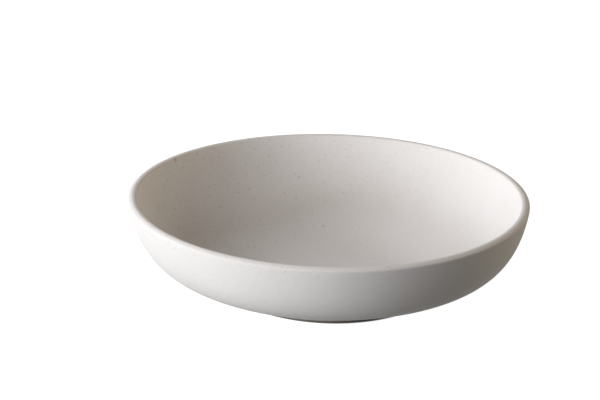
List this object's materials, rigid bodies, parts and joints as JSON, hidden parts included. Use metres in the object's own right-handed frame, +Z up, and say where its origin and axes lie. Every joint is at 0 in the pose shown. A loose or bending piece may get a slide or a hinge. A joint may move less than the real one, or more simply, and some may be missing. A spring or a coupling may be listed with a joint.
{
  "type": "deep plate",
  "caption": "Round deep coupe plate in speckled matt stoneware, with a curved wall, rounded lip and foot ring, for soup, pasta or salad.",
  "frame": {"origin": "middle of the foot ring, in the plane that the plate stands on", "axes": "+Z up along the plate's axis of turning, X and Y level; the plate is round, so any way round is the same"},
  "size_m": [0.21, 0.21, 0.0494],
  "materials": {
    "bare_clay": "bare fired stoneware, matt and slightly rough",
    "speckled_glaze": "matt warm off-white glaze with small dark specks",
    "outer_glaze": "matt warm off-white glaze with faint specks",
    "base_glaze": "matt warm off-white glaze"
  },
  "bodies": {
    "root": {"clay_body": "bare_clay", "inner_glaze": "speckled_glaze", "outer_glaze": "outer_glaze", "base_glaze": "base_glaze"}
  },
  "joints": []
}
